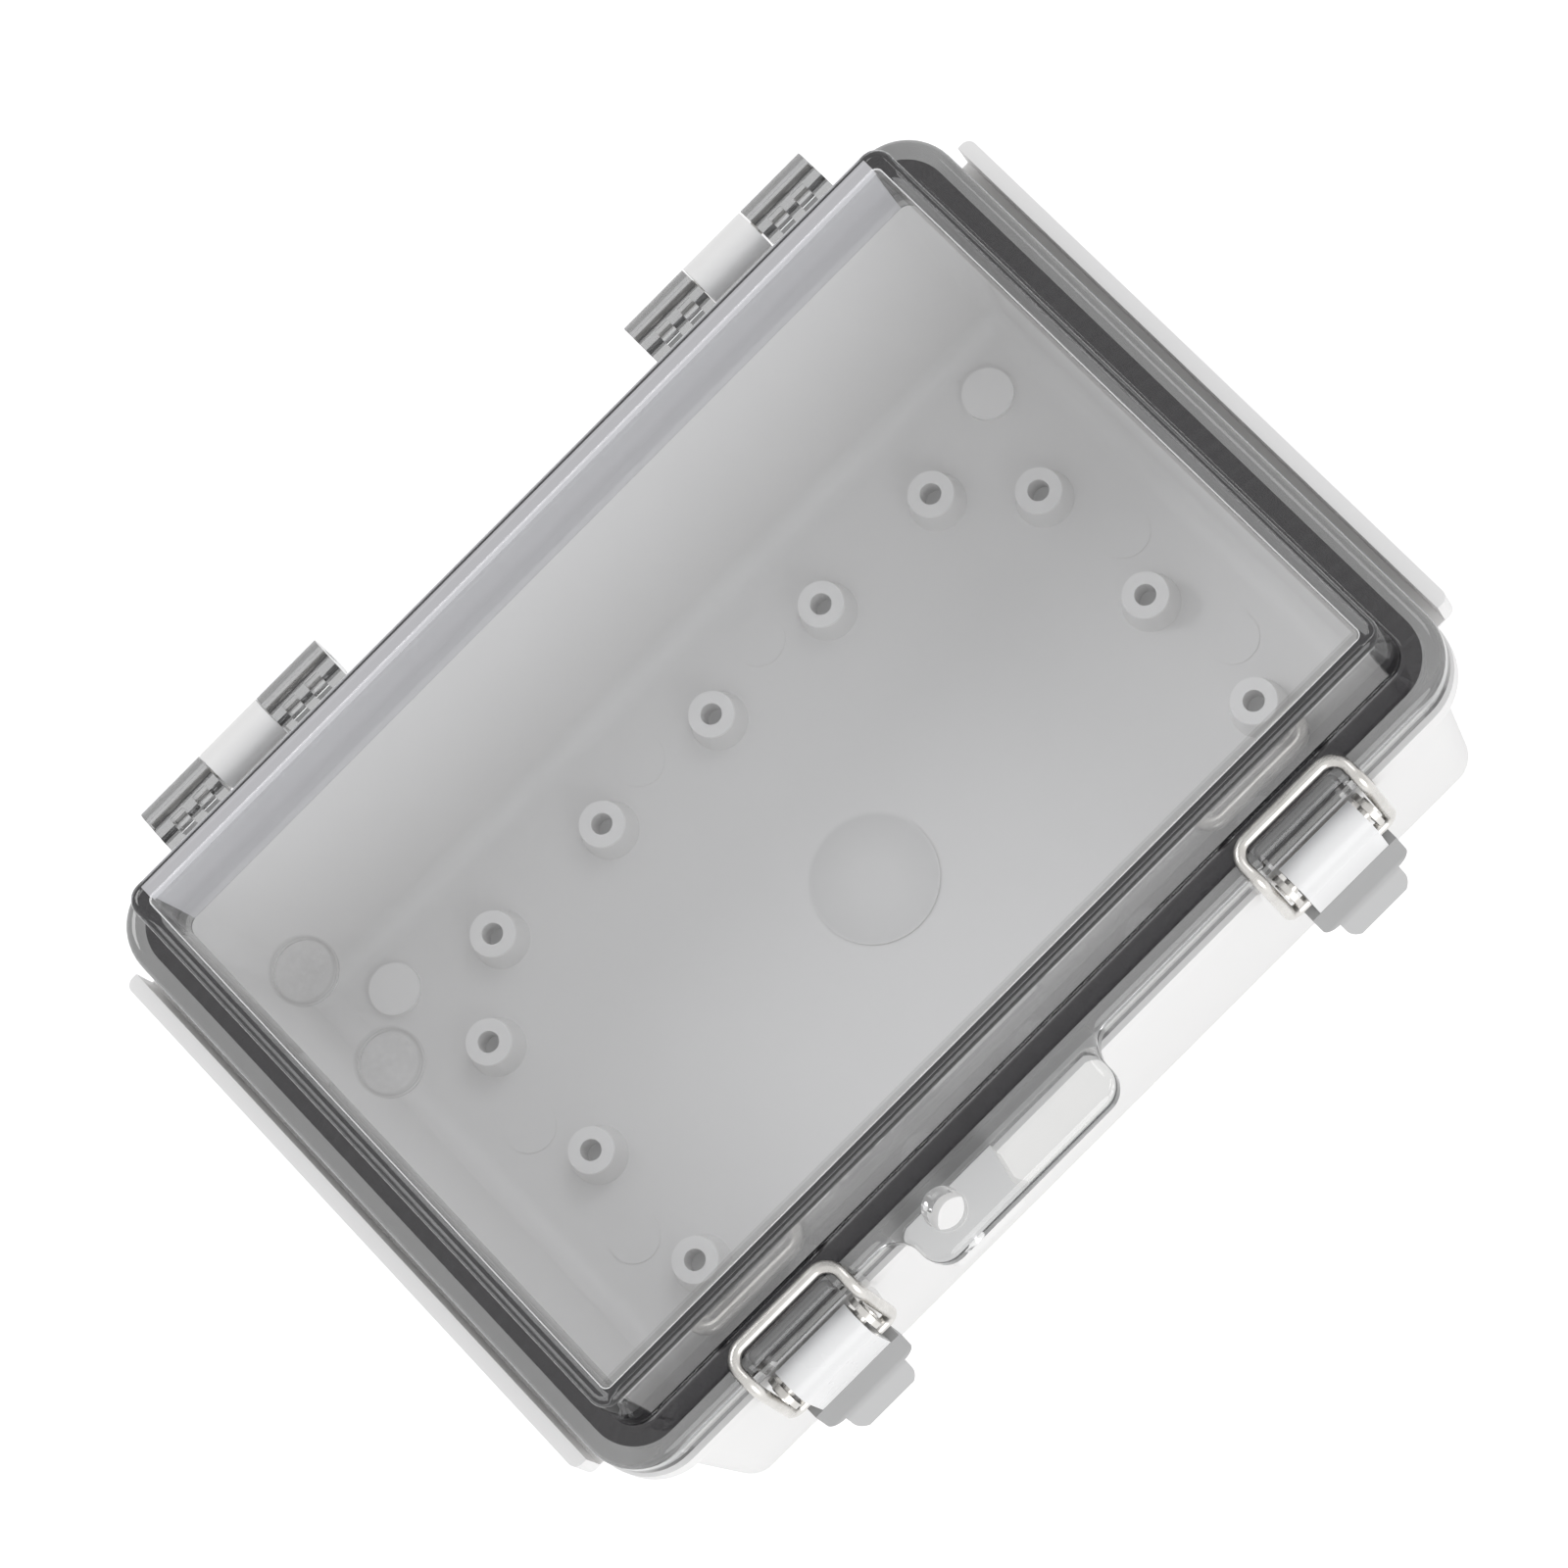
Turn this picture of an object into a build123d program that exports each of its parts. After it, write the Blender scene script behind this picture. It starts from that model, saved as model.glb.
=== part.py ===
from build123d import *
import os
from math import radians, tan

# Junction box with a hinged clear lid, two wire latches and a padlock tab.
# Millimetres. +Z points out of the wall, +X along the long side, the latches
# are at -Y and the hinges at +Y. The origin is the middle of the flat back.

# Base shell, measured on the outside of its walls at the seam with the lid
seam_length = 202.6
seam_width = 141.1
seam_height = 80.2
seam_corner = 9.5
base_wall = 2.8
base_floor = 3.0
base_draft = 2.6
back_edge_round = 3.0
floor_edge_round = 5.0
seam_gap = 0.3
seal_extra = 3.2

# Flange round the mouth of the base and the tongue that bites the seal
flange_reach_x = 3.5
flange_reach_y = 4.5
flange_corner = 12.0
flange_thick = 5.2
tongue_wide = 1.4
tongue_tall = 3.0

# Plain rails on the two short ends
rail_length = 126.2
rail_shift = 1.9
rail_gap = 2.4
rail_wall = 2.9
rail_tall = 11.0
rail_drop = 0.5
rail_groove_deep = 9.0
rail_corner = 1.8
rail_foot = 1.2

# Mounting bosses on a square grid, round the edge of the floor
boss_pitch = 30.0
boss_columns = 2
boss_side_rows = 1
boss_row_offset = 1.5
boss_side_offset = 2.5
boss_top_r = 4.6
boss_foot_r = 6.1
boss_tall = 6.5
boss_hole_r = 2.15
boss_hole_deep = 6.0

# Corner pads over the wall-fixing holes, which are drilled out when used
fixing_from_end = 19.6
fixing_from_side = 17.55
fixing_pad_r = 5.2
fixing_pad_tall = 1.5
fixing_hole_r = 2.6
fixing_skin = 1.2

# Marks that the mould leaves
gate_disc_r = 12.9
gate_disc_tall = 0.35
ejector_mark_r = 5.3
ejector_mark_tall = 0.2
ejector_row_x = 16.5
ejector_row_y = 51.0
ejector_side_x = 81.0
ejector_side_y = (14.0, -16.4)
lid_ring_r = 6.3
lid_ring_wide = 0.5
lid_ring_tall = 0.25
lid_ring_x = -81.0
lid_ring_y = (31.4, 7.8)

# Lid
rim_reach = 3.4
rim_corner = 11.5
rim_tall = 8.8
rim_edge_round = 2.5
crown_tall = 21.5
crown_draft = 3.0
crown_inset_x = 8.7
crown_inset_y = 8.3
crown_corner = 3.5
crown_edge_round = 1.8
crown_foot_round = 0.8
lid_wall = 3.0
inner_corner = 1.5
inner_edge_round = 0.6
groove_deep = 6.5
gasket_play = 0.05

# Hinges
hinge_from_end = 38.0
hinge_axis_out = 7.65
hinge_axis_up = 0.5
hinge_gusset_root = 0.8
hinge_gusset_out = 3.5
hinge_gusset_down = 2.5
barrel_r = 4.3
base_knuckle_half = 7.3
knuckle_gap = 0.3
lid_knuckle_wide = 15.2
knuckle_web_low = 1.5
knuckle_root = 0.5
knuckle_web_high = 6.5
knuckle_web_slope = 0.7
knuckle_web_back = 2.7
knuckle_window_in = 1.6
knuckle_pin_wall = 0.7
knuckle_slot_wide = 3.2
knuckle_rib = 2.6
gusset_drop = 18.0
hinge_pin_r = 1.5
hinge_pin_short = 0.2
running_clearance = 0.05
press_clearance = 0.02

# Padlock tab, a little off centre
tab_centre_x = -14.8
tab_wide = 46.8
tab_reach = 11.0
tab_thick = 5.0
tab_corner = 5.0
padlock_r = 3.9
padlock_x = -29.6
padlock_out = 3.15
ear_root_wide = 24.0
ear_tip_wide = 17.5
ear_centre_x = -27.0
ear_reach = 10.0
ear_deep = 4.2
ear_corner = 2.0
ear_gap = 0.3

# Catches on the lid that the wire bails hook over
catch_half = 10.0
catch_deep = 2.9
catch_tall = 1.8
catch_round = 1.3
catch_corner = 1.5
seat_deep = 3.6
wire_rest = 0.3
wire_room = 0.5
notch_skin = 0.1

# Latches, each measured from its own centre
latch_from_end = 38.4
pad_half = 12.0
pad_tall = 22.0
pad_inset = 1.5
pad_foot = 2.0
pad_proud = 0.6
pad_overlap = 0.5
sheet = 1.2
bracket_top_gap = 1.5
bracket_tall = 16.5
cheek_inner = 9.5
cheek_r = 3.6
cheek_step = 1.0
cheek_neck_out = 2.2
cheek_neck_down = 4.5
cheek_waist_in = 0.8
cheek_waist_down = 9.0
cheek_hip_out = 2.4
cheek_hip_up = 8.0
pivot_out = 4.7
pivot_up = 1.3
pivot_r = 1.5
pivot_head_r = 2.1
pivot_head_thick = 0.4
screw_r = 1.25
screw_hole_r = 1.4
screw_long = 3.4
screw_head_r = 2.2
screw_head_tall = 1.2
screw_slot_wide = 0.6
screw_slot_deep = 0.6
screw_cross = 3.0
screw_pitch = 8.0
screw_up = 4.5
lever_half = 8.6
lever_barrel_r = 3.2
lever_lean = -0.03
lever_body = 14.0
lever_thin = 5.0
lever_heel_low = 1.2
lever_heel_high = 1.0
lever_waist_in = 0.6
lever_waist_down = 1.5
cover_thick = 1.0
cover_reach = 3.0
foot_half = 10.5
foot_tall = 8.5
foot_out = 2.0
foot_thick = 2.7
foot_corner = 3.0
tip_half = 7.4
tip_tall = 7.5
tip_out = 2.5
tip_thick = 2.3
tip_corner = 5.0
wire_r = 1.2
wire_leg_half = 12.6
wire_hook_half = 7.2
wire_hook_round = 2.0
wire_elbow_round = 3.5
wire_corner_round = 3.6
bail_pin_in = 1.1
bail_pin_drop = 11.0
bail_top_up = 9.9
bail_top_in = 9.2
bail_elbow_in = 1.4

# Worked out from the sizes above
half_x = seam_length / 2
half_y = seam_width / 2
fixing_span_x = seam_length - 2 * fixing_from_end
fixing_span_y = seam_width - 2 * fixing_from_side
hinge_spacing = seam_length - 2 * hinge_from_end
latch_spacing = seam_length - 2 * latch_from_end
rim_half_x = half_x + rim_reach
rim_half_y = half_y + rim_reach
lid_low = seam_height + seam_gap
rim_top = seam_height + rim_tall
crown_top = rim_top + crown_tall
flange_half_x = half_x + flange_reach_x
flange_half_y = half_y + flange_reach_y
flange_low = seam_height - flange_thick
hinge_y = rim_half_y + hinge_axis_out
hinge_z = seam_height + hinge_axis_up
knuckle_near = base_knuckle_half + knuckle_gap
knuckle_far = knuckle_near + lid_knuckle_wide
pivot_y = -(rim_half_y + pivot_out)
pivot_z = seam_height + pivot_up
bail_pin_y = pivot_y - bail_pin_in
bail_pin_z = pivot_z - bail_pin_drop
bail_top_y = pivot_y + bail_top_in
bail_top_z = pivot_z + bail_top_up
pad_y = -(rim_half_y - pad_inset)
plate_y = pad_y - sheet
cheek_outer = cheek_inner + sheet
notch_y = -(rim_half_y + notch_skin)
notch_half = wire_leg_half + wire_r + wire_room
groove_wide = base_wall + seal_extra
tongue_inset = (base_wall - tongue_wide) / 2
tab_low = rim_top - tab_thick
slope_crown = tan(radians(crown_draft))
bracket_top = flange_low - bracket_top_gap
bracket_low = bracket_top - bracket_tall
foot_top = pivot_z - lever_body
foot_low = foot_top - foot_tall


def block(x0, x1, y0, y1, z0, z1):
    """A plain box between two corners."""
    size = Box(x1 - x0, y1 - y0, z1 - z0)
    return Pos((x0 + x1) / 2, (y0 + y1) / 2, (z0 + z1) / 2) * size


def slab(reach_x, reach_y, corner, z0, z1):
    """A rounded rectangle with upright sides, given by its half sizes."""
    outline = RectangleRounded(2 * reach_x, 2 * reach_y, corner)
    return Pos(0, 0, z0) * extrude(outline, amount=z1 - z0)


def drafted(reach_x, reach_y, corner, z0, z1, draft):
    """A rounded rectangle that grows upwards to the half sizes given at z1."""
    shrink = (z1 - z0) * tan(radians(draft))
    outline = RectangleRounded(2 * (reach_x - shrink), 2 * (reach_y - shrink), corner - shrink)
    return Pos(0, 0, z0) * extrude(outline, amount=z1 - z0, taper=-draft)


def narrowing(reach_x, reach_y, corner, z0, z1, draft):
    """A rounded rectangle that starts with the half sizes given at z0 and narrows upwards."""
    outline = RectangleRounded(2 * reach_x, 2 * reach_y, corner)
    return Pos(0, 0, z0) * extrude(outline, amount=z1 - z0, taper=draft)


def across(outline, x0, x1):
    """Extrudes a YZ outline, drawn with Y to the right and Z up, from x0 to x1."""
    return extrude(Plane.YZ.offset(x0) * outline, amount=x1 - x0)


def rod(radius, x0, x1, y, z):
    """A cylinder along X."""
    return across(Pos(y, z) * Circle(radius), x0, x1)


def shape(*points):
    """A closed outline through the points as they are given."""
    return make_face(Polyline(*points, close=True))


def stacked(*solids):
    """Joins solids into one."""
    whole = solids[0]
    for solid in solids[1:]:
        whole = whole + solid
    return whole


def sides(spacing):
    """The two centres of a left and right pair."""
    return (-spacing / 2, spacing / 2)


def boss_places():
    """The centres of the ring of bosses on the grid."""
    places = []
    for column in range(-boss_columns, boss_columns + 1):
        for row in (-boss_row_offset, boss_row_offset):
            places.append((column * boss_pitch, row * boss_pitch))
    for row in range(-boss_side_rows, boss_side_rows + 1):
        for column in (-boss_side_offset, boss_side_offset):
            places.append((column * boss_pitch, row * boss_pitch))
    return places


def fixing_places():
    """The centres of the four wall-fixing holes."""
    return [(sx * fixing_span_x / 2, sy * fixing_span_y / 2) for sx in (-1, 1) for sy in (-1, 1)]


def base_shell():
    """Walls and floor, drafted, with the flange and the tongue round the mouth."""
    outside = drafted(half_x, half_y, seam_corner, 0, seam_height, base_draft)
    outside = fillet(outside.edges().group_by(Axis.Z)[0], back_edge_round)
    flange = slab(
        flange_half_x, flange_half_y, flange_corner, flange_low, seam_height
    )
    tongue = slab(
        half_x - tongue_inset,
        half_y - tongue_inset,
        seam_corner - tongue_inset,
        seam_height,
        seam_height + tongue_tall,
    )
    return outside + flange + tongue


def base_cavity():
    """The hollow of the base, straight through the tongue."""
    reach_x = half_x - base_wall
    reach_y = half_y - base_wall
    corner = seam_corner - base_wall
    hollow = drafted(reach_x, reach_y, corner, base_floor, seam_height, base_draft)
    hollow = fillet(hollow.edges().group_by(Axis.Z)[0], floor_edge_round)
    more = tongue_inset
    top = seam_height + tongue_tall
    return hollow + slab(reach_x + more, reach_y + more, corner + more, seam_height, top)


def end_rail():
    """One rail, for the right end, and the open-ended slot between it and the flange."""
    top = seam_height - rail_drop
    outer = flange_half_x + rail_gap + rail_wall
    inner = half_x - base_wall / 2
    plan = Pos((outer + inner) / 2, rail_shift) * Rectangle(outer - inner, rail_length)
    plan = fillet(plan.vertices().group_by(Axis.X)[-1], rail_corner)
    body = Pos(0, 0, top - rail_tall) * extrude(plan, amount=rail_tall)
    low_edge = body.edges().group_by(Axis.Z)[0].sort_by(Axis.X)[-1]
    body = chamfer(low_edge, rail_foot)
    slot = block(
        flange_half_x,
        outer - rail_wall,
        rail_shift - rail_length,
        rail_shift + rail_length,
        top - rail_groove_deep,
        seam_height + 1,
    )
    return body - slot


def base_bosses():
    """The ring of flared bosses, without their holes."""
    bosses = []
    for x, y in boss_places():
        flare = Cone(boss_foot_r, boss_top_r, boss_tall + base_floor / 2)
        bosses.append(Pos(x, y, base_floor / 2 + (boss_tall + base_floor / 2) / 2) * flare)
    return bosses


def floor_marks():
    """Corner pads, the disc at the gate and the shallow ejector marks, all raised."""
    marks = []
    sunk = base_floor / 2
    for x, y in fixing_places():
        tall = sunk + fixing_pad_tall
        marks.append(Pos(x, y, sunk + tall / 2) * Cylinder(fixing_pad_r, tall))
    tall = sunk + gate_disc_tall
    marks.append(Pos(0, 0, sunk + tall / 2) * Cylinder(gate_disc_r, tall))
    tall = sunk + ejector_mark_tall
    places = [(sx * ejector_row_x, ejector_row_y) for sx in (-1, 1)]
    places += [(sx * ejector_side_x, y) for sx in (-1, 1) for y in ejector_side_y]
    for x, y in places:
        marks.append(Pos(x, y, sunk + tall / 2) * Cylinder(ejector_mark_r, tall))
    return marks


def base_hinge(x):
    """The middle knuckle of one hinge, with its gusset down the wall."""
    root = half_y - base_wall / 2
    gusset = shape(
        (root, seam_height - gusset_drop),
        (half_y - hinge_gusset_root, seam_height - gusset_drop),
        (hinge_y + hinge_gusset_out, hinge_z - hinge_gusset_down),
        (hinge_y, hinge_z),
        (flange_half_y, seam_height),
        (root, seam_height),
    )
    barrel = Pos(hinge_y, hinge_z) * Circle(barrel_r)
    outline = gusset + barrel
    return across(outline, x - base_knuckle_half, x + base_knuckle_half)


def latch_pad(x):
    """The flat pad that carries one latch bracket."""
    inner = -(half_y - base_wall / 2)
    low = flange_low - pad_tall
    outline = shape(
        (inner, low - pad_foot),
        (inner - pad_proud, low - pad_foot),
        (pad_y, low + pad_foot),
        (pad_y, flange_low + pad_overlap),
        (inner, flange_low + pad_overlap),
    )
    return across(outline, x - pad_half, x + pad_half)


def screw_heights():
    """The heights of the two screws of a bracket."""
    return (bracket_low + screw_up, bracket_low + screw_up + screw_pitch)


def latch_cuts(x):
    """The notch in the flange for one latch and the holes for its bracket's screws."""
    outer = -flange_half_y - 1
    cuts = [block(x - notch_half, x + notch_half, outer, notch_y, flange_low - 1, seam_height + 1)]
    for z in screw_heights():
        hole = Plane((x, pad_y, z), z_dir=(0, 1, 0)) * Circle(screw_r + press_clearance)
        cuts.append(extrude(hole, amount=screw_long + running_clearance))
    return cuts


def padlock_ear():
    """The ear of the base up to the underside of the padlock tab, without the hole."""
    tip = -(rim_half_y + ear_reach)
    root = -(half_y - base_wall / 2)
    outline = shape(
        (ear_centre_x - ear_root_wide / 2, root),
        (ear_centre_x + ear_root_wide / 2, root),
        (ear_centre_x + ear_tip_wide / 2, tip),
        (ear_centre_x - ear_tip_wide / 2, tip),
    )
    outline = fillet(outline.vertices().group_by(Axis.Y)[0], ear_corner)
    low = seam_height - ear_deep
    ear = Pos(0, 0, low) * extrude(outline, amount=tab_low - ear_gap - low)
    rim_room = -(rim_half_y + ear_gap)
    near = ear_centre_x - ear_root_wide
    far = ear_centre_x + ear_root_wide
    return ear - block(near, far, rim_room, root + 1, seam_height, rim_top)


def padlock_hole(z0, z1):
    """The hole for the shackle, cut between two heights."""
    place = Pos(padlock_x, -(rim_half_y + padlock_out), (z0 + z1) / 2)
    return place * Cylinder(padlock_r, z1 - z0)


def make_base():
    """The whole moulded base."""
    solid = base_shell()
    rail = end_rail()
    solid = stacked(solid, rail, mirror(rail, about=Plane.YZ))
    for x in sides(hinge_spacing):
        solid = solid + base_hinge(x)
    for x in sides(latch_spacing):
        solid = solid + latch_pad(x)
    solid = solid + padlock_ear()
    solid = solid - base_cavity()
    solid = stacked(solid, *base_bosses(), *floor_marks())
    for x in sides(latch_spacing):
        for cut in latch_cuts(x):
            solid = solid - cut
    for x, y in boss_places():
        top = base_floor + boss_tall
        solid = solid - Pos(x, y, top - boss_hole_deep / 2) * Cylinder(boss_hole_r, boss_hole_deep)
    for x, y in fixing_places():
        deep = base_floor + fixing_pad_tall - fixing_skin
        solid = solid - Pos(x, y, deep / 2) * Cylinder(fixing_hole_r, deep)
    for x in sides(hinge_spacing):
        bore = hinge_pin_r + press_clearance
        solid = solid - rod(bore, x - base_knuckle_half - 1, x + base_knuckle_half + 1, hinge_y, hinge_z)
    return solid - padlock_hole(0, tab_low)


def tab_outline():
    """The rim seen from above with the padlock tab, whose necks are concave."""
    tongue = Rectangle(tab_wide, tab_reach + 2 * tab_corner)
    tongue = Pos(tab_centre_x, -rim_half_y - tab_reach / 2 + tab_corner) * tongue
    outline = RectangleRounded(2 * rim_half_x, 2 * rim_half_y, rim_corner) + tongue
    outline = fillet(outline.vertices().group_by(Axis.Y)[0], tab_corner)
    necks = []
    for side in (-1, 1):
        root = Vector(tab_centre_x + side * tab_wide / 2, -rim_half_y, 0)
        necks.append(outline.vertices().sort_by_distance(root)[0])
    return fillet(necks, tab_corner)


def lid_outside():
    """The rim with the padlock tab, and the raised crown of the lid."""
    rim = slab(rim_half_x, rim_half_y, rim_corner, lid_low, rim_top)
    rim = rim + Pos(0, 0, tab_low) * extrude(tab_outline(), amount=tab_thick)
    rim = fillet(rim.edges().group_by(Axis.Z)[-1], rim_edge_round)
    spread = crown_tall * slope_crown
    crown = narrowing(
        rim_half_x - crown_inset_x + spread,
        rim_half_y - crown_inset_y + spread,
        crown_corner + spread,
        rim_top,
        crown_top,
        crown_draft,
    )
    crown = fillet(crown.edges().group_by(Axis.Z)[-1], crown_edge_round)
    whole = rim + crown
    foot_x = rim_half_x - crown_inset_x + spread
    foot_y = rim_half_y - crown_inset_y + spread
    foot = []
    for edge in whole.edges().filter_by_position(Axis.Z, rim_top, rim_top):
        middle = edge.center()
        if abs(middle.X) < foot_x + crown_foot_round and abs(middle.Y) < foot_y + crown_foot_round:
            foot.append(edge)
    return fillet(foot, crown_foot_round)


def lid_hollow():
    """The inside of the crown and the straight throat below it."""
    spread = crown_tall * slope_crown
    reach_x = rim_half_x - crown_inset_x + spread - lid_wall
    reach_y = rim_half_y - crown_inset_y + spread - lid_wall
    tall = crown_tall - lid_wall
    corner = inner_corner + tall * slope_crown
    inside = narrowing(reach_x, reach_y, corner, rim_top, rim_top + tall, crown_draft)
    inside = fillet(inside.edges().group_by(Axis.Z)[-1], inner_edge_round)
    return inside + slab(reach_x, reach_y, corner, lid_low, rim_top)


def ring(reach_x, reach_y, corner, wide, z0, z1):
    """A band inside the given half sizes."""
    outer = slab(reach_x, reach_y, corner, z0, z1)
    return outer - slab(reach_x - wide, reach_y - wide, corner - wide, z0, z1)


def lid_knuckles(x):
    """The two knuckles of the lid at one hinge, each with three ribs and two see-through slots."""
    outline = shape(
        (rim_half_y - knuckle_root, seam_height + knuckle_web_low),
        (hinge_y, seam_height + knuckle_web_low),
        (hinge_y, hinge_z + barrel_r),
        (hinge_y - knuckle_web_back, seam_height + knuckle_web_high - knuckle_web_slope),
        (rim_half_y - knuckle_root, seam_height + knuckle_web_high),
    )
    outline = outline + Pos(hinge_y, hinge_z) * Circle(barrel_r)
    knuckles = []
    for side in (-1, 1):
        near = x + side * knuckle_near
        far = x + side * knuckle_far
        knuckle = across(outline, min(near, far), max(near, far))
        for place in (1, 2):
            reach = place * (knuckle_rib + knuckle_slot_wide) - knuckle_slot_wide / 2
            middle = x + side * (knuckle_near + reach)
            knuckle = knuckle - block(
                middle - knuckle_slot_wide / 2,
                middle + knuckle_slot_wide / 2,
                rim_half_y + knuckle_window_in,
                hinge_y - hinge_pin_r - knuckle_pin_wall,
                seam_height - barrel_r,
                rim_top,
            )
        knuckles.append(knuckle)
    return knuckles


def catch(x):
    """The lug that the bail hooks over, and the low seat that the wire bears on."""
    front = -rim_half_y
    inner = front + catch_deep
    left = x - catch_half
    right = x + catch_half
    lug = block(left, right, front, inner, rim_top - rim_edge_round, rim_top + catch_tall)
    lug = fillet(lug.edges().filter_by(Axis.Z).group_by(Axis.Y)[-1], catch_corner)
    lug = fillet(lug.edges().group_by(Axis.Z)[-1], catch_round)
    seat_top = bail_top_z - wire_r - wire_rest
    seat = block(left, right, inner - 1, inner + seat_deep, rim_top - 1, seat_top)
    return lug + seat


def make_lid():
    """The whole moulded lid."""
    solid = lid_outside()
    for x in sides(hinge_spacing):
        solid = stacked(solid, *lid_knuckles(x))
    for x in sides(latch_spacing):
        solid = solid + catch(x)
    solid = solid - lid_hollow()
    for y in lid_ring_y:
        tall = lid_ring_tall + lid_wall / 2
        hoop = Cylinder(lid_ring_r, tall) - Cylinder(lid_ring_r - lid_ring_wide, tall)
        solid = solid + Pos(lid_ring_x, y, crown_top - lid_wall - lid_ring_tall + tall / 2) * hoop
    solid = solid - ring(half_x, half_y, seam_corner, groove_wide, lid_low, lid_low + groove_deep)
    for x in sides(hinge_spacing):
        bore = hinge_pin_r + running_clearance
        solid = solid - rod(bore, x - knuckle_far - 1, x + knuckle_far + 1, hinge_y, hinge_z)
    return solid - padlock_hole(lid_low, rim_top)


def make_gasket():
    """The seal, relaxed, between the roof of the lid's groove and the tip of the tongue."""
    return ring(
        half_x - gasket_play,
        half_y - gasket_play,
        seam_corner - gasket_play,
        groove_wide - 2 * gasket_play,
        seam_height + tongue_tall + gasket_play,
        lid_low + groove_deep,
    )


def make_hinge_pin(x):
    """One hinge pin, just short of the knuckles' outer faces."""
    reach = knuckle_far - hinge_pin_short
    return rod(hinge_pin_r, x - reach, x + reach, hinge_y, hinge_z)


def cheek_outline():
    """One cheek of the bracket in side view, rounded about the lever's pivot."""
    web = shape(
        (plate_y + sheet / 2, bracket_low),
        (plate_y + sheet / 2, bracket_top),
        (plate_y - cheek_step, flange_low),
        (pivot_y + cheek_r, pivot_z),
        (pivot_y - cheek_r, pivot_z),
        (pivot_y - cheek_neck_out, pivot_z - cheek_neck_down),
        (pivot_y + cheek_waist_in, pivot_z - cheek_waist_down),
        (plate_y - cheek_hip_out, bracket_low + cheek_hip_up),
        (plate_y - cheek_step, bracket_low),
    )
    return web + Pos(pivot_y, pivot_z) * Circle(cheek_r)


def make_bracket(x):
    """The sheet bracket: a back plate and two cheeks."""
    solid = block(x - cheek_outer, x + cheek_outer, plate_y, pad_y, bracket_low, bracket_top)
    for side in (-1, 1):
        near = x + side * cheek_inner
        far = x + side * cheek_outer
        solid = solid + across(cheek_outline(), min(near, far), max(near, far))
    for z in screw_heights():
        hole = Plane((x, pad_y, z), z_dir=(0, -1, 0)) * Circle(screw_hole_r)
        solid = solid - extrude(hole, amount=sheet + 1)
    reach = cheek_outer + 1
    return solid - rod(pivot_r + press_clearance, x - reach, x + reach, pivot_y, pivot_z)


def make_bracket_screw(x, z):
    """One pan-head screw with a cross recess."""
    face = Plane((x, plate_y, z), z_dir=(0, -1, 0))
    head = extrude(face * Circle(screw_head_r), amount=screw_head_tall)
    head = fillet(head.edges().group_by(Axis.Y)[0], screw_head_tall / 2)
    back = Plane((x, plate_y, z), z_dir=(0, 1, 0))
    shank = extrude(back * Circle(screw_r), amount=sheet + screw_long)
    top = Plane((x, plate_y - screw_head_tall + screw_slot_deep, z), z_dir=(0, -1, 0))
    arm = Rectangle(screw_cross, screw_slot_wide)
    cross = arm + Rot(0, 0, 90) * arm
    return head + shank - extrude(top * cross, amount=screw_slot_deep + 1)


def make_pivot(x):
    """The riveted pin of one lever."""
    reach = cheek_outer + running_clearance
    pin = rod(pivot_r, x - reach, x + reach, pivot_y, pivot_z)
    for side in (-1, 1):
        near = x + side * reach
        far = x + side * (reach + pivot_head_thick)
        pin = pin + rod(pivot_head_r, min(near, far), max(near, far), pivot_y, pivot_z)
    return pin


def lever_face_y(z):
    """Where the outer face of the cover lies at a height below the pivot."""
    return pivot_y - lever_barrel_r - cover_thick - lever_lean * (pivot_z - z)


def make_lever_core(x):
    """The grey core: barrel, body, wide foot and finger tip."""
    skin = lever_face_y(foot_top)
    tip_low = foot_low - tip_tall
    side_view = shape(
        (pivot_y - lever_barrel_r, pivot_z),
        (skin + cover_thick, foot_top),
        (skin - running_clearance, foot_top),
        (skin - foot_out, foot_low),
        (skin - foot_out - tip_out, tip_low + tip_thick / 2),
        (skin - foot_out - tip_out + tip_thick, tip_low),
        (skin - foot_out + foot_thick, foot_low),
        (skin + foot_thick, foot_top - lever_heel_low),
        (skin + lever_thin, foot_top + lever_heel_high),
        (pivot_y + lever_barrel_r - lever_waist_in, pivot_z - lever_waist_down),
        (pivot_y, pivot_z),
    )
    side_view = side_view + Pos(pivot_y, pivot_z) * Circle(lever_barrel_r)
    body = across(side_view, -foot_half, foot_half)
    upper = Pos(0, foot_top + lever_body) * Rectangle(2 * lever_half, 2 * lever_body)
    foot = Pos(0, foot_top - foot_tall / 2) * Rectangle(2 * foot_half, foot_tall)
    foot = fillet(foot.vertices().group_by(Axis.Y)[0], foot_corner)
    tip = Pos(0, foot_top - (foot_tall + tip_tall) / 2) * Rectangle(2 * tip_half, foot_tall + tip_tall)
    tip = fillet(tip.vertices().group_by(Axis.Y)[0], tip_corner)
    front_view = upper + foot + tip
    mask = extrude(Plane.XZ * front_view, amount=2 * abs(pivot_y))
    core = body & mask
    core = core - rod(pivot_r + running_clearance, -lever_half - 1, lever_half + 1, pivot_y, pivot_z)
    core = core - rod(wire_r + running_clearance, -foot_half - 1, foot_half + 1, bail_pin_y, bail_pin_z)
    return Pos(x, 0, 0) * core


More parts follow.
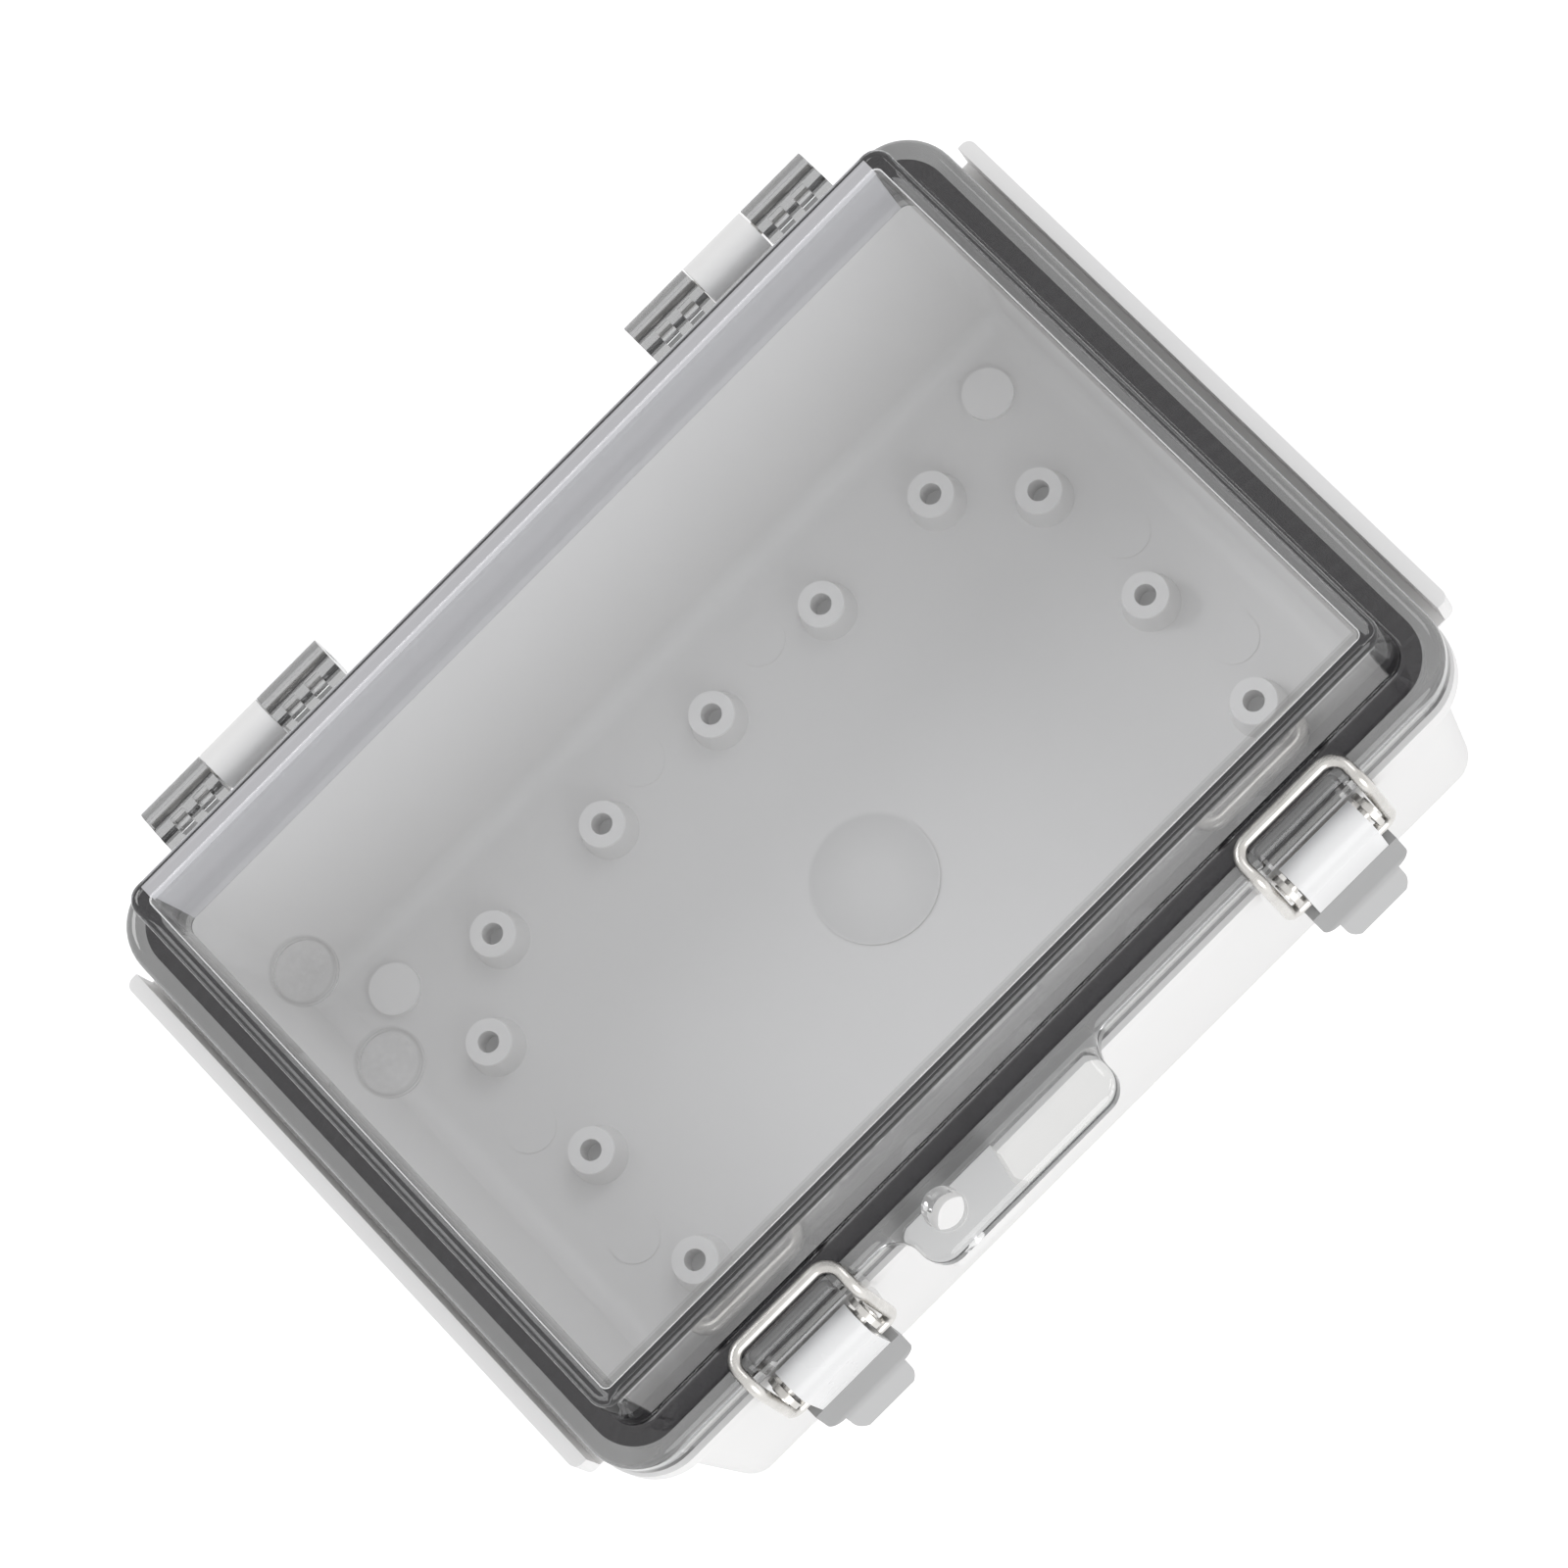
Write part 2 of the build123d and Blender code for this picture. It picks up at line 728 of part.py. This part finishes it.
def make_lever_cover(x):
    """The white cover over the barrel and the outer face of the core."""
    low = foot_top + running_clearance
    outer_r = lever_barrel_r + cover_thick
    inner_r = lever_barrel_r + running_clearance
    outside = Pos(pivot_y, pivot_z) * Circle(outer_r) + shape(
        (pivot_y - outer_r, pivot_z),
        (lever_face_y(low), low),
        (pivot_y, low),
        (pivot_y, pivot_z),
    )
    inside = Pos(pivot_y, pivot_z) * Circle(inner_r) + shape(
        (pivot_y - inner_r, pivot_z),
        (lever_face_y(low) + cover_thick - running_clearance, low),
        (lever_face_y(low) + cover_thick - running_clearance, low - 1),
        (pivot_y + outer_r + 1, low - 1),
        (pivot_y + outer_r + 1, pivot_z),
    )
    trim = Pos(pivot_y + cover_reach + outer_r, pivot_z) * Rectangle(2 * outer_r, 4 * outer_r)
    return across(outside - inside - trim, x - lever_half, x + lever_half)


def make_bail(x):
    """The wire bail: two hooked ends, two legs and the bar across the top."""
    pin = (bail_pin_y, bail_pin_z)
    elbow = (pivot_y + bail_elbow_in, bail_top_z)
    top = (bail_top_y, bail_top_z)
    left = [(-wire_hook_half, *pin)]
    left += [(-wire_leg_half, *place) for place in (pin, elbow, top)]
    right = [(-px, py, pz) for px, py, pz in reversed(left)]
    rounds = [wire_hook_round, wire_elbow_round, wire_corner_round]
    path = FilletPolyline(*left, *right, radius=rounds + rounds[::-1])
    start = Plane(path @ 0, z_dir=path % 0)
    wire = sweep(start * Circle(wire_r), path=path)
    return Pos(x, 0, 0) * wire


def save(name, *solids):
    """Writes one sub-part."""
    whole = solids[0] if len(solids) == 1 else Compound(children=list(solids))
    export_step(whole, os.path.join("parts", name + ".step"))


def main():
    os.makedirs("parts", exist_ok=True)
    save("base", make_base())
    save("lid", make_lid())
    save("lid_gasket", make_gasket())
    for name, x in zip(("left", "right"), sides(hinge_spacing)):
        save("hinge_pin_" + name, make_hinge_pin(x))
    for name, x in zip(("left", "right"), sides(latch_spacing)):
        save("latch_bracket_" + name, make_bracket(x))
        save("bracket_screws_" + name, *[make_bracket_screw(x, z) for z in screw_heights()])
        save("latch_pivot_" + name, make_pivot(x))
        save("lever_core_" + name, make_lever_core(x))
        save("lever_cover_" + name, make_lever_cover(x))
        save("bail_" + name, make_bail(x))


main()
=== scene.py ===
import bmesh
import bpy
from mathutils import Matrix, Vector

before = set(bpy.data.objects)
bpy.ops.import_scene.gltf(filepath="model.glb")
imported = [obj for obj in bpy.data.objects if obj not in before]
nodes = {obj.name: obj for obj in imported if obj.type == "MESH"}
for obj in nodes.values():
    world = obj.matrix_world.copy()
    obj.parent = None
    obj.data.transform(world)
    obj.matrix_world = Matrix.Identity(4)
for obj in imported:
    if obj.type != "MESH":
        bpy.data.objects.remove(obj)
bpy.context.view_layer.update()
sideNames = ("left", "right")
mm = 0.001


# The camera stands where the photograph was taken, turned 45 degrees about its own axis. Its place is in
# millimetres.
cameraShot = {
    "place": (35.08, -358.71, 1190.97),
    "back": (0.02782, -0.30866, 0.95077),
    "top": (0.70777, 0.67775, 0.19931),
    "lens": 148.25,
    "sensor": 36.0,
    "clipStart": 0.01,
}


def makeCamera():
    data = bpy.data.cameras.new("camera")
    data.lens = cameraShot["lens"]
    data.sensor_width = cameraShot["sensor"]
    data.clip_start = cameraShot["clipStart"]
    back = Vector(cameraShot["back"]).normalized()
    right = Vector(cameraShot["top"]).cross(back).normalized()
    top = back.cross(right)
    turn = Matrix((right, top, back)).transposed().to_4x4()
    place = Matrix.Translation(Vector(cameraShot["place"]) * mm)
    camera = bpy.data.objects.new("camera", data)
    camera.matrix_world = place @ turn
    bpy.context.scene.collection.objects.link(camera)
    bpy.context.scene.camera = camera
    print("camera set")


# A socket with arithmetic: each operation in an expression adds its Math node.
class Value:
    def __init__(self, paint, socket):
        self.paint = paint
        self.socket = socket

    def math(self, operation, *others):
        inputs = {i + 1: other for i, other in enumerate(others)}
        return self.paint.node("ShaderNodeMath", {"operation": operation}, {0: self, **inputs})

    def __add__(self, other):
        return self.math("ADD", other)

    def __radd__(self, other):
        return self.math("ADD", other)

    def __mul__(self, other):
        return self.math("MULTIPLY", other)

    def __sub__(self, other):
        return self.math("SUBTRACT", other)

    def __rsub__(self, other):
        return self.paint.node("ShaderNodeMath", {"operation": "SUBTRACT"}, {0: other, 1: self})

    # Zero at low, one at high, and even in between. With low above high, it falls instead of rising.
    def clamped(self, low, high):
        limits = {"Value": self, "From Min": low, "From Max": high}
        return self.paint.node("ShaderNodeMapRange", {"clamp": True}, limits)


# One material under construction. node() makes any node: its settings first, then its inputs.
class Paint:
    def __init__(self, name):
        self.material = bpy.data.materials.new(name)
        self.material.use_nodes = True
        self.tree = self.material.node_tree
        self.tree.nodes.clear()

    # The same for the world's own tree, which has no material.
    @classmethod
    def sky(cls, world):
        paint = cls.__new__(cls)
        paint.tree = world.node_tree
        paint.tree.nodes.clear()
        return paint

    def node(self, kind, settings=None, inputs=None, output=0):
        made = self.tree.nodes.new(kind)
        for key, value in (settings or {}).items():
            setattr(made, key, value)
        for key, value in (inputs or {}).items():
            if isinstance(value, Value):
                self.tree.links.new(value.socket, made.inputs[key])
            else:
                made.inputs[key].default_value = value
        return Value(self, made.outputs[output]) if made.outputs else made

    def place(self, stretch=(1, 1, 1)):
        where = self.node("ShaderNodeTexCoord", output="Object")
        return self.node("ShaderNodeMapping", {}, {"Vector": where, "Scale": stretch})

    def noise(self, scale, detail=3.0, rough=0.5, stretch=(1, 1, 1)):
        inputs = {
            "Vector": self.place(stretch),
            "Scale": scale,
            "Detail": detail,
            "Roughness": rough,
        }
        return self.node("ShaderNodeTexNoise", {}, inputs)

    def mix(self, factor, one, two):
        inputs = {0: factor, 6: one, 7: two}
        return self.node("ShaderNodeMix", {"data_type": "RGBA"}, inputs, output=2)

    def bump(self, height, strength, distance):
        inputs = {"Height": height, "Strength": strength, "Distance": distance}
        return self.node("ShaderNodeBump", {}, inputs)

    def coordinate(self, axis):
        where = self.node("ShaderNodeTexCoord", output="Object")
        return self.node("ShaderNodeSeparateXYZ", {}, {0: where}, output=axis)

    # One inside a circle about x, y, softened over its edge, else zero.
    def disc(self, x, y, radius, soft):
        where = self.node("ShaderNodeTexCoord", output="Object")
        inputs = {"Vector": where, "Location": (-x, -y, 0), "Scale": (1, 1, 0)}
        flat = self.node("ShaderNodeMapping", {}, inputs)
        away = self.node("ShaderNodeVectorMath", {"operation": "LENGTH"}, {0: flat}, output=1)
        return away.clamped(radius + soft, radius - soft)

    def finish(self, inputs):
        surface = self.node("ShaderNodeBsdfPrincipled", {}, inputs)
        self.node("ShaderNodeOutputMaterial", {}, {"Surface": surface})
        return self.material


def grey(value, warm=0.0):
    return (value * (1 + warm), value, value * (1 - warm), 1.0)


plasticIor = 1.5
grainDepth = 0.0001

# Soft light-grey plastic. What lies below inside, in millimetres, is the back of the box and has no marks.
basePlastic = {
    "colour": 0.85,
    "patch": 0.83,
    "patchScale": 18.0,
    "warm": 0.008,
    "rough": 0.42,
    "roughPatch": 0.08,
    "grain": 900.0,
    "grainBump": 0.12,
    "softness": 0.06,
    "softReach": 0.004,
    "softScale": 0.3,
    "inside": 1.5,
}

# Marks inside the box, in millimetres: the round mark of the gate, painted darker, and the corner pads and
# the bosses' tops, painted paler as painted light on their raised tops.
gateDisc = {
    "radius": 12.9,
    "soft": 0.5,
    "middle": 8.0,
    "middleSoft": 4.0,
    "middleShare": 0.6,
    "dark": 0.73,
    "below": 5.0,
}
fixingPadLight = {"x": 81.7, "y": 53.0, "radius": 5.2, "soft": 0.3, "paintedLight": 0.94, "below": 6.0}
bossTopLight = {"low": 8.9, "high": 9.9, "halfX": 86.0, "halfY": 56.0, "paintedLight": 0.94}


def paintGateDisc(paint, colour, onFloor):
    look = gateDisc
    outer = paint.disc(0, 0, look["radius"] * mm, look["soft"] * mm)
    inner = paint.disc(0, 0, look["middle"] * mm, look["middleSoft"] * mm)
    mask = outer - inner * look["middleShare"]
    return paint.mix(mask * onFloor(look), colour, grey(look["dark"], basePlastic["warm"]))


# The corner pads are painted paler: painted light on their raised tops.
def paintFixingPadLight(paint, colour, onFloor):
    look = fixingPadLight
    corners = [(x, y) for x in (-look["x"], look["x"]) for y in (-look["y"], look["y"])]
    radius = look["radius"] * mm
    pads = sum(paint.disc(x * mm, y * mm, radius, look["soft"] * mm) for x, y in corners)
    return paint.mix(pads * onFloor(look), colour, grey(look["paintedLight"], basePlastic["warm"]))


# The bosses' tops are painted paler: painted light on the tops, which stand up from the floor.
def paintBossTopLight(paint, colour, height):
    look = bossTopLight
    above = height.math("GREATER_THAN", look["low"] * mm)
    level = above * height.math("LESS_THAN", look["high"] * mm)
    along = paint.coordinate(0).math("ABSOLUTE").math("LESS_THAN", look["halfX"] * mm)
    across = paint.coordinate(1).math("ABSOLUTE").math("LESS_THAN", look["halfY"] * mm)
    return paint.mix(level * along * across, colour, grey(look["paintedLight"], basePlastic["warm"]))


def makeBasePlastic():
    paint = Paint("basePlastic")
    look = basePlastic
    patches = paint.noise(look["patchScale"], 2.0)
    grain = paint.noise(look["grain"], 2.0)
    height = paint.coordinate(2)
    inside = height.math("GREATER_THAN", look["inside"] * mm)

    def onFloor(mark):
        return height.math("LESS_THAN", mark["below"] * mm) * inside

    plain = (grey(look["colour"], look["warm"]), grey(look["patch"], look["warm"]))
    colour = paint.mix(patches, *plain)
    colour = paintGateDisc(paint, colour, onFloor)
    colour = paintFixingPadLight(paint, colour, onFloor)
    colour = paintBossTopLight(paint, colour, height)
    return paint.finish({
        "Base Color": colour,
        "Roughness": patches * look["roughPatch"] + look["rough"],
        "Normal": paint.bump(grain, look["grainBump"], grainDepth),
        "IOR": plasticIor,
        "Subsurface Weight": look["softness"],
        "Subsurface Radius": (look["softReach"],) * 3,
        "Subsurface Scale": look["softScale"],
    })


# Places and sizes in millimetres. The rim, the crown's walls and the hinge knuckles are tinted darker than
# its top: painted shade, where little light gets through them. The inner face of the hinge-side wall has a
# pale diffuse layer mixed in: painted light that brightens that band. The marks are two mould rings under
# the lid's top, with frosted, speckled ground inside them.
clearLid = {
    "tint": (0.975, 0.98, 0.985, 1.0),
    "rimShadeTint": (0.47, 0.47, 0.465, 1.0),
    "wallShadeTint": (0.72, 0.72, 0.72, 1.0),
    "knuckleShadeTint": (0.42, 0.42, 0.42, 1.0),
    "tabTint": (0.90, 0.90, 0.89, 1.0),
    "ringTint": (0.74, 0.74, 0.74, 1.0),
    "ior": 1.58,
    "haze": 60.0,
    "hazeSpread": (0.3, 0.8),
    "hazeRough": 0.012,
    "smoke": (0.60, 0.61, 0.63, 1.0),
    "density": 30.0,
    "shade": (0.965, 0.967, 0.97, 1.0),
    "rimTop": 89.2,
    "windowX": 92.0,
    "windowY": 61.5,
    "rimHalfY": 73.95,
    "marks": ((-81.0, 31.4), (-81.0, 7.8)),
    "markRadius": 6.3,
    "markSoft": 0.3,
    "markFrost": 0.14,
    "markRing": 0.7,
    "speckle": 900.0,
    "speckleSpread": (0.35, 0.65),
    "speckleTint": 0.3,
    "paintedLightSheet": (0.80, 0.795, 0.82, 1.0),
    "paintedLightLevel": 0.6,
    "paintedLightLow": 78.0,
    "paintedLightHigh": 80.0,
    "paintedLightInner": 64.4,
}


def tintLid(paint, rings, frost):
    look = clearLid
    low = paint.coordinate(2).math("LESS_THAN", look["rimTop"] * mm)
    endways = paint.coordinate(0).math("ABSOLUTE").math("GREATER_THAN", look["windowX"] * mm)
    latchSide = paint.coordinate(1).math("LESS_THAN", -look["windowY"] * mm)
    hingeSide = paint.coordinate(1).math("GREATER_THAN", look["windowY"] * mm)
    offTab = paint.coordinate(1).math("GREATER_THAN", -look["rimHalfY"] * mm)
    knuckles = paint.coordinate(1).math("GREATER_THAN", look["rimHalfY"] * mm)
    wall = endways.math("MAXIMUM", latchSide) * offTab
    marks = rings.math("MAXIMUM", frost * look["speckleTint"])
    tint = paint.mix(marks, look["tint"], look["ringTint"])
    # Darker tints on the crown's walls, the rim and the knuckles: painted shade.
    tint = paint.mix(wall, tint, look["wallShadeTint"])
    tint = paint.mix(wall.math("MAXIMUM", hingeSide) * low, tint, look["rimShadeTint"])
    tint = paint.mix(knuckles, tint, look["knuckleShadeTint"])
    tint = paint.mix(1 - offTab, tint, look["tabTint"])
    # A pale diffuse layer on the inner face of the hinge-side wall: painted light that brightens that band.
    inside = paint.coordinate(1).math("LESS_THAN", look["paintedLightInner"] * mm)
    rising = paint.coordinate(2).clamped(look["paintedLightLow"] * mm, look["paintedLightHigh"] * mm)
    paintedLightShare = rising * (inside * hingeSide * (1 - endways)) * look["paintedLightLevel"]
    return tint, paintedLightShare


# Refracting for the eye. Light on its way to what lies under the lid passes straight through, dimmed a bit.
def makeClearLid():
    paint = Paint("clearLid")
    look = clearLid
    haze = paint.noise(look["haze"], 3.0)
    speckle = paint.noise(look["speckle"], 3.0, 0.7)
    soft = look["markSoft"] * mm
    outer = look["markRadius"] * mm
    inner = outer - look["markRing"] * mm
    discs = sum(paint.disc(x * mm, y * mm, outer, soft) for x, y in look["marks"])
    rings = discs - sum(paint.disc(x * mm, y * mm, inner, soft) for x, y in look["marks"])
    frost = discs * speckle.clamped(*look["speckleSpread"])
    tint, paintedLightShare = tintLid(paint, rings, frost)
    hazeRough = haze.clamped(*look["hazeSpread"]) * look["hazeRough"]
    glass = paint.node("ShaderNodeBsdfPrincipled", {}, {
        "Base Color": tint,
        "Roughness": hazeRough + frost * look["markFrost"],
        "IOR": look["ior"],
        "Transmission Weight": 1.0,
    })
    # The pale diffuse layer mixed into the glass there: painted light.
    paintedLightSheet = paint.node("ShaderNodeBsdfDiffuse", {}, {"Color": look["paintedLightSheet"]})
    seen = paint.node("ShaderNodeMixShader", {}, {0: paintedLightShare, 1: glass, 2: paintedLightSheet})
    lighting = [
        paint.node("ShaderNodeLightPath", output=ray) for ray in ("Is Shadow Ray", "Is Diffuse Ray")
    ]
    clear = paint.node("ShaderNodeBsdfTransparent", {}, {"Color": look["shade"]})
    either = lighting[0].math("MAXIMUM", lighting[1])
    surface = paint.node("ShaderNodeMixShader", {}, {0: either, 1: seen, 2: clear})
    inputs = {"Color": look["smoke"], "Density": look["density"]}
    smoke = paint.node("ShaderNodeVolumeAbsorption", {}, inputs)
    paint.node("ShaderNodeOutputMaterial", {}, {"Surface": surface, "Volume": smoke})
    return paint.material


sealFoam = {
    "colour": (0.070, 0.064, 0.070, 1.0),
    "pore": (0.048, 0.043, 0.048, 1.0),
    "scale": 1400.0,
    "spread": (0.35, 0.65),
    "rough": 0.75,
    "roughPore": 0.15,
    "poreBump": 0.6,
    "poreDepth": 0.0004,
}


def makeSealFoam():
    paint = Paint("sealFoam")
    look = sealFoam
    pores = paint.noise(look["scale"], 4.0, 0.6)
    mask = pores.clamped(*look["spread"])
    return paint.finish({
        "Base Color": paint.mix(mask, look["pore"], look["colour"]),
        "Roughness": mask * look["roughPore"] + look["rough"],
        "Normal": paint.bump(pores, look["poreBump"], look["poreDepth"]),
    })


stainless = {
    "colour": (0.66, 0.645, 0.62, 1.0),
    "dark": (0.52, 0.505, 0.48, 1.0),
    "blotch": 120.0,
    "blotchSpread": (0.35, 0.75),
    "drawn": 700.0,
    "drawnStretch": (0.06, 1.0, 1.0),
    "drawnBump": 0.08,
    "rough": 0.2,
    "roughDrawn": 0.16,
}


def makeStainless():
    paint = Paint("stainless")
    look = stainless
    drawn = paint.noise(look["drawn"], 3.0, 0.6, look["drawnStretch"])
    blotch = paint.noise(look["blotch"], 3.0).clamped(*look["blotchSpread"])
    return paint.finish({
        "Base Color": paint.mix(blotch, look["colour"], look["dark"]),
        "Metallic": 1.0,
        "Roughness": drawn * look["roughDrawn"] + look["rough"],
        "Normal": paint.bump(drawn, look["drawnBump"], grainDepth),
    })


# Below tipLow, in millimetres, the plastic is painted paler: painted light on the finger tip, which faces
# up more and catches more light.
leverGrey = {"colour": 0.37, "patch": 0.345, "tip": 0.52, "tipLow": 59.2, "rough": 0.4}
leverWhite = {"colour": 0.85, "patch": 0.82, "tip": 0.85, "tipLow": 0.0, "rough": 0.22}
leverBoth = {"patchScale": 90.0, "roughPatch": 0.1, "grain": 1500.0, "grainBump": 0.06, "tipSoft": 1.5}


def makeLeverPlastic(name, look):
    paint = Paint(name)
    both = leverBoth
    patches = paint.noise(both["patchScale"], 2.0)
    grain = paint.noise(both["grain"], 2.0)
    colour = paint.mix(patches, grey(look["colour"]), grey(look["patch"]))
    top = (look["tipLow"] + both["tipSoft"]) * mm
    bottom = (look["tipLow"] - both["tipSoft"]) * mm
    # The finger tip below tipLow is painted paler: painted light.
    low = paint.coordinate(2).clamped(top, bottom)
    return paint.finish({
        "Base Color": paint.mix(low, colour, grey(look["tip"])),
        "Roughness": patches * both["roughPatch"] + look["rough"],
        "Normal": paint.bump(grain, both["grainBump"], grainDepth),
        "IOR": plasticIor,
    })


def dress(name, material):
    mesh = nodes[name].data
    mesh.materials.clear()
    mesh.materials.append(material)


def dressNodes():
    steel = makeStainless()
    core = makeLeverPlastic("leverGrey", leverGrey)
    cover = makeLeverPlastic("leverWhite", leverWhite)
    dress("base", makeBasePlastic())
    dress("lid", makeClearLid())
    dress("lid_gasket", makeSealFoam())
    for side in sideNames:
        for piece in ("hinge_pin", "latch_bracket", "bracket_screws", "latch_pivot", "bail"):
            dress(piece + "_" + side, steel)
        dress("lever_core_" + side, core)
        dress("lever_cover_" + side, cover)
    print("finishes on")


# Lengths in metres. The floor is open under the box, so that the box's back can be seen from below. Where a
# ray looks at the background, the floor glows and the sky is white; neither adds light to the object.
studio = {
    "floorHalf": 3.0,
    "floorOpen": (0.094, 0.063),
    "floorLow": -0.0001,
    "floorColour": 0.88,
    "floorGlow": 0.4,
    "seenBy": ("Is Camera Ray", "Is Glossy Ray", "Is Transmission Ray"),
    "worldColour": (0.95, 0.955, 0.965, 1.0),
    "worldLevel": 0.65,
    "worldSeen": 1.0,
}


# One or more for a ray that looks at the background, zero for one that lights something.
def looking(paint):
    return sum(paint.node("ShaderNodeLightPath", output=ray) for ray in studio["seenBy"])


def makeFloor():
    made = bmesh.new()
    corners = ((-1, -1), (1, -1), (1, 1), (-1, 1))
    half = studio["floorHalf"]
    openX, openY = studio["floorOpen"]
    low = studio["floorLow"]
    outer = [made.verts.new((x * half, y * half, low)) for x, y in corners]
    inner = [made.verts.new((x * openX, y * openY, low)) for x, y in corners]
    for i in range(len(corners)):
        after = (i + 1) % len(corners)
        made.faces.new((outer[i], outer[after], inner[after], inner[i]))
    mesh = bpy.data.meshes.new("floor")
    made.to_mesh(mesh)
    made.free()
    floor = bpy.data.objects.new("floor", mesh)
    bpy.context.scene.collection.objects.link(floor)
    paint = Paint("floorPaper")
    matte = paint.node("ShaderNodeBsdfDiffuse", {}, {"Color": grey(studio["floorColour"])})
    light = {"Color": grey(1.0), "Strength": studio["floorGlow"]}
    glow = paint.node("ShaderNodeEmission", {}, light)
    white = paint.node("ShaderNodeAddShader", {}, {0: matte, 1: glow})
    shown = paint.node("ShaderNodeMixShader", {}, {0: looking(paint), 1: matte, 2: white})
    paint.node("ShaderNodeOutputMaterial", {}, {"Surface": shown})
    mesh.materials.append(paint.material)


# Soft lamps round the object: place, aim and size in metres, power in watts.
lamps = {
    "key": {"place": (-0.75, 1.2, 1.5), "aim": (0, 0, 0.05), "size": 0.8, "power": 8.0},
    "front": {"place": (0.0, -1.45, 0.7), "aim": (0, 0, 0.05), "size": 1.2, "power": 8.8},
    "side": {"place": (0.95, 0.3, 1.2), "aim": (0, 0, 0.05), "size": 0.6, "power": 2.0},
}


def makeLamps():
    for name, lamp in lamps.items():
        data = bpy.data.lights.new(name, "AREA")
        data.shape = "DISK"
        data.size = lamp["size"]
        data.energy = lamp["power"]
        light = bpy.data.objects.new(name, data)
        place = Vector(lamp["place"])
        turn = (Vector(lamp["aim"]) - place).to_track_quat("-Z", "Y")
        light.matrix_world = Matrix.Translation(place) @ turn.to_matrix().to_4x4()
        bpy.context.scene.collection.objects.link(light)


def makeWorld():
    world = bpy.data.worlds.new("studio")
    bpy.context.scene.world = world
    world.use_nodes = True
    paint = Paint.sky(world)
    light = {"Color": studio["worldColour"], "Strength": studio["worldLevel"]}
    lit = paint.node("ShaderNodeBackground", {}, light)
    plain = {"Color": grey(1.0), "Strength": studio["worldSeen"]}
    white = paint.node("ShaderNodeBackground", {}, plain)
    shown = paint.node("ShaderNodeMixShader", {}, {0: looking(paint), 1: lit, 2: white})
    paint.node("ShaderNodeOutputWorld", {}, {"Surface": shown})


def main():
    makeCamera()
    dressNodes()
    makeFloor()
    makeLamps()
    makeWorld()
    bpy.context.scene.view_settings.view_transform = "Standard"


main()
